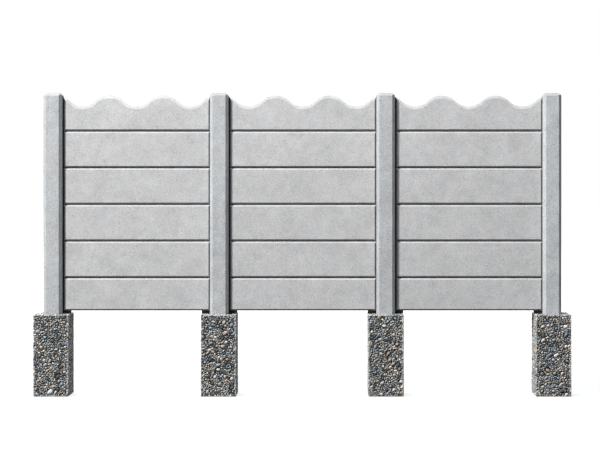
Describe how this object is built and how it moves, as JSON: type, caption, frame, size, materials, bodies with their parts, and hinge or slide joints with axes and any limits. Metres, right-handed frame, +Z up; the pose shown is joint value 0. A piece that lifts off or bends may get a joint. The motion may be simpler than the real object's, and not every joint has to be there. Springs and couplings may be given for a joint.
{
  "type": "precast concrete boundary wall",
  "caption": "Precast concrete boundary wall: slotted posts on footing blocks hold stacked plain panels on mortar beds, and a panel with a wavy chamfered top closes each bay.",
  "frame": {"origin": "middle of the wall's footprint, at the level of the footings' undersides", "axes": "+X along the run, -Y out of the front face, +Z up"},
  "size_m": [4.37, 0.29, 2.47],
  "materials": {
    "post_concrete": "matte",
    "panel_concrete": "matte",
    "footing_concrete": "matte",
    "bed_mortar": "matte"
  },
  "bodies": {
    "root": {"footing_1": "footing_concrete", "footing_2": "footing_concrete", "footing_3": "footing_concrete", "footing_4": "footing_concrete", "post_1": "post_concrete", "post_2": "post_concrete", "post_3": "post_concrete", "post_4": "post_concrete", "bay_1_bottom_panel": "panel_concrete", "bay_1_panel_2": "panel_concrete", "bay_1_panel_3": "panel_concrete", "bay_1_panel_4": "panel_concrete", "bay_1_panel_5": "panel_concrete", "bay_2_bottom_panel": "panel_concrete", "bay_2_panel_2": "panel_concrete", "bay_2_panel_3": "panel_concrete", "bay_2_panel_4": "panel_concrete", "bay_2_panel_5": "panel_concrete", "bay_3_bottom_panel": "panel_concrete", "bay_3_panel_2": "panel_concrete", "bay_3_panel_3": "panel_concrete", "bay_3_panel_4": "panel_concrete", "bay_3_panel_5": "panel_concrete", "bay_1_wave_panel": "panel_concrete", "bay_2_wave_panel": "panel_concrete", "bay_3_wave_panel": "panel_concrete", "bay_1_left_bed": "bed_mortar", "bay_1_right_bed": "bed_mortar", "bay_2_left_bed": "bed_mortar", "bay_2_right_bed": "bed_mortar", "bay_3_left_bed": "bed_mortar", "bay_3_right_bed": "bed_mortar"}
  },
  "joints": []
}
